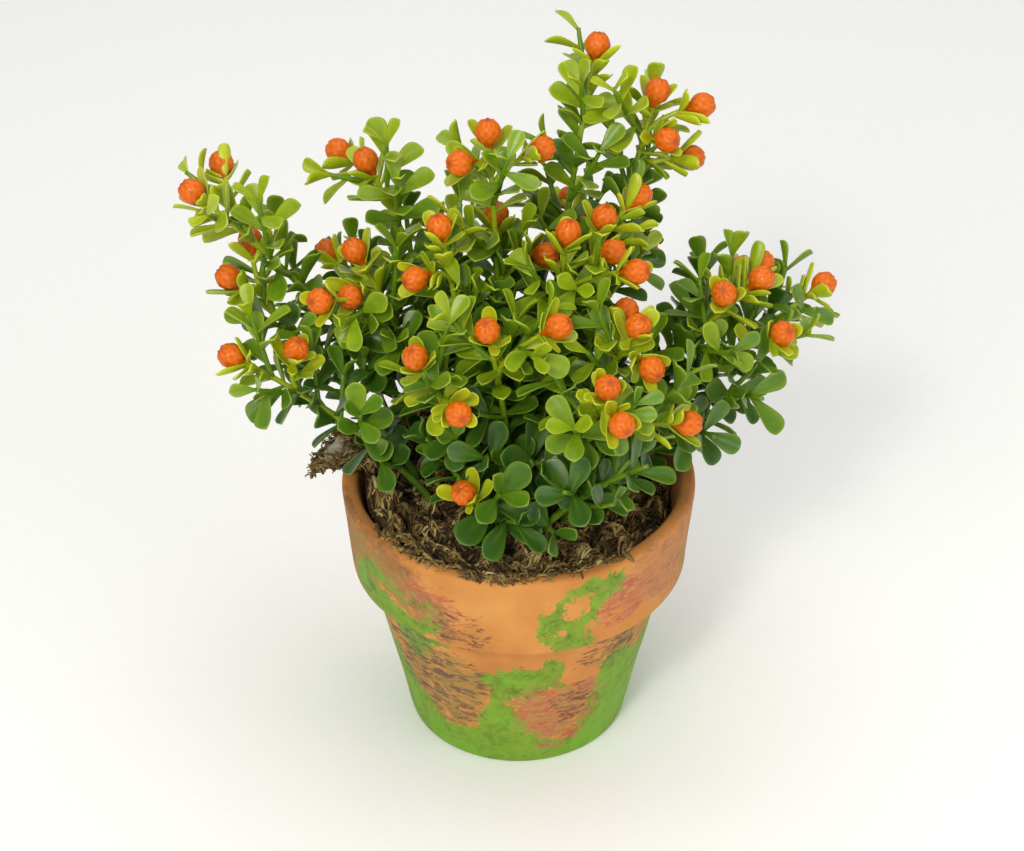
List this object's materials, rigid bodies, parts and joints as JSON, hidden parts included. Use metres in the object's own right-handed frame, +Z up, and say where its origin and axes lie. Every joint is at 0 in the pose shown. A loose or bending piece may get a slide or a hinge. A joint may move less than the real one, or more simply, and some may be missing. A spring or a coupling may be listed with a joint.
{
  "type": "potted coral bead plant",
  "caption": "Small terracotta pot filled with moss, with leafy moulded sprays whose shoot tips carry ribbed coral-orange beads; stands on any flat surface.",
  "frame": {"origin": "on the pot's axis at the underside of the pot, under the middle of the whole plant", "axes": "+Z up along the pot's axis, -Y towards the side seen in the picture, +X to its right"},
  "size_m": [0.1633, 0.0962, 0.179],
  "materials": {
    "terracotta": "painted, weathered clay",
    "foam": "dry foam",
    "moss": "shredded dried moss",
    "foliage": "satin moulded plastic",
    "coral_bead": "satin painted plastic"
  },
  "bodies": {
    "root": {"pot": "terracotta", "foam_plug": "foam", "moss_layer": "moss", "moss_scrap": "moss", "spray_01": "foliage", "spray_02": "foliage", "spray_03": "foliage", "spray_04": "foliage", "spray_05": "foliage", "spray_06": "foliage", "spray_07": "foliage", "spray_08": "foliage", "spray_09": "foliage", "spray_10": "foliage", "spray_11": "foliage", "spray_12": "foliage", "spray_13": "foliage", "spray_14": "foliage", "spray_15": "foliage", "spray_16": "foliage", "spray_17": "foliage", "spray_18": "foliage", "spray_19": "foliage", "spray_20": "foliage", "spray_21": "foliage", "spray_22": "foliage", "spray_23": "foliage", "spray_24": "foliage"}
  },
  "joints": []
}
